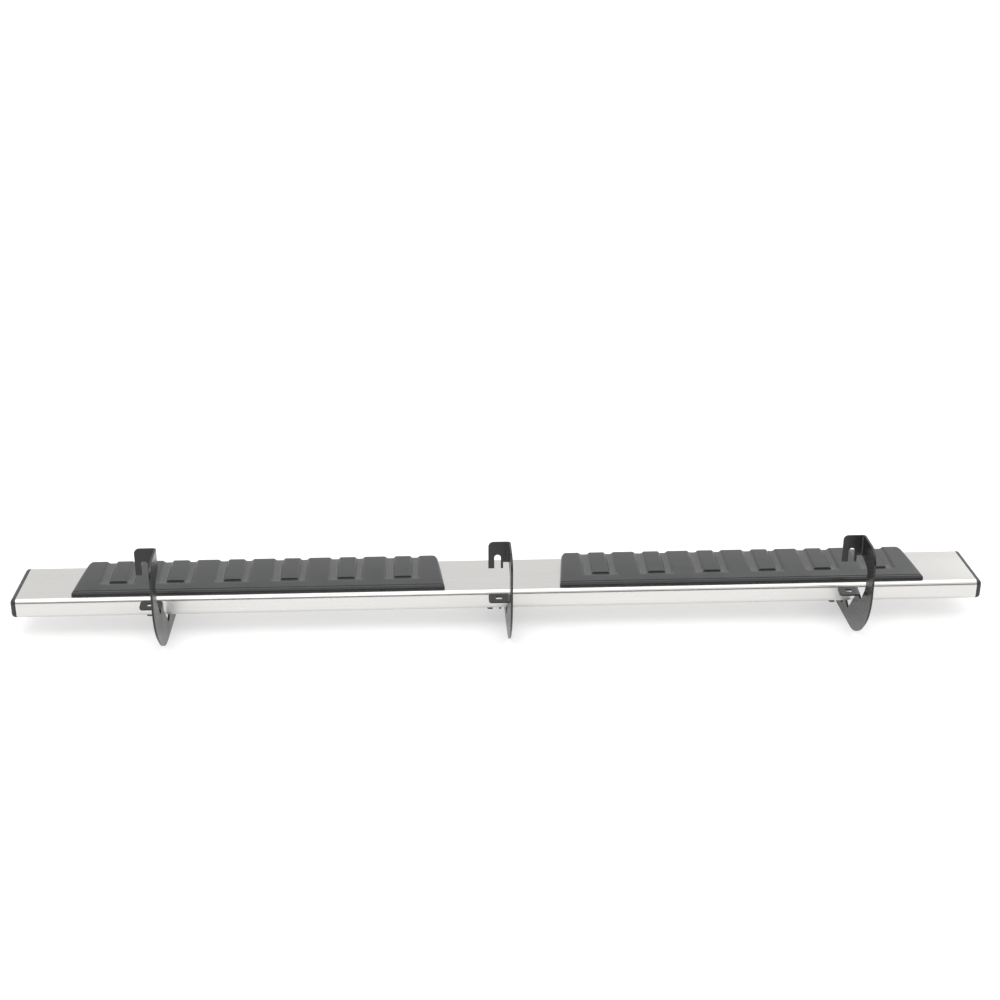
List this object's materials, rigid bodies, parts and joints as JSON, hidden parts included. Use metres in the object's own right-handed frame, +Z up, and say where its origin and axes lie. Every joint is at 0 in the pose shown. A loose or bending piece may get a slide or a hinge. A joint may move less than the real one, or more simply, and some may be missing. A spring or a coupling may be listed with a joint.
{
  "type": "running board",
  "caption": "Straight brushed steel side step with grooved plastic step pads, moulded end caps and bent plate mounting brackets.",
  "frame": {"origin": "middle of the whole part's footprint, on the plane that the brackets' bottom edges stand on", "axes": "+X along the board, -Y to the outer side that people step from, +Y to the vehicle, +Z up"},
  "size_m": [1.927, 0.291, 0.216],
  "materials": {
    "brushed_shell": "brushed",
    "rail_steel": "mill",
    "pad_plastic": "matte grained",
    "cap_plastic": "satin",
    "black_coat": "satin powder coat",
    "zinc": "zinc plated"
  },
  "bodies": {
    "board": {"board_shell": "brushed_shell", "channel_rail_outer": "rail_steel", "channel_rail_inner": "rail_steel", "end_cap_left": "cap_plastic", "end_cap_right": "cap_plastic", "step_pad_left": "pad_plastic", "step_pad_right": "pad_plastic", "pad_retainers_left": "zinc", "pad_retainers_right": "zinc"},
    "bolt_set_left": {"t_bolts_left": "zinc", "washers_left": "zinc", "flange_nuts_left": "zinc"},
    "bracket_left": {"bracket_left": "black_coat"},
    "bolt_set_middle": {"t_bolts_middle": "zinc", "washers_middle": "zinc", "flange_nuts_middle": "zinc"},
    "bracket_middle": {"bracket_middle": "black_coat"},
    "bolt_set_right": {"t_bolts_right": "zinc", "washers_right": "zinc", "flange_nuts_right": "zinc"},
    "bracket_right": {"bracket_right": "black_coat"}
  },
  "joints": [
    {"name": "channel_slide_left", "type": "slide", "parent": "board", "child": "bolt_set_left", "axis": [1, 0, 0], "range_m": [-0.15, 0.15]},
    {"name": "slot_slide_left", "type": "slide", "parent": "bolt_set_left", "child": "bracket_left", "axis": [0, 1, 0], "range_m": [-0.005, 0.005]},
    {"name": "channel_slide_middle", "type": "slide", "parent": "board", "child": "bolt_set_middle", "axis": [1, 0, 0], "range_m": [-0.15, 0.15]},
    {"name": "slot_slide_middle", "type": "slide", "parent": "bolt_set_middle", "child": "bracket_middle", "axis": [0, 1, 0], "range_m": [-0.005, 0.005]},
    {"name": "channel_slide_right", "type": "slide", "parent": "board", "child": "bolt_set_right", "axis": [1, 0, 0], "range_m": [-0.15, 0.15]},
    {"name": "slot_slide_right", "type": "slide", "parent": "bolt_set_right", "child": "bracket_right", "axis": [0, 1, 0], "range_m": [-0.005, 0.005]}
  ]
}
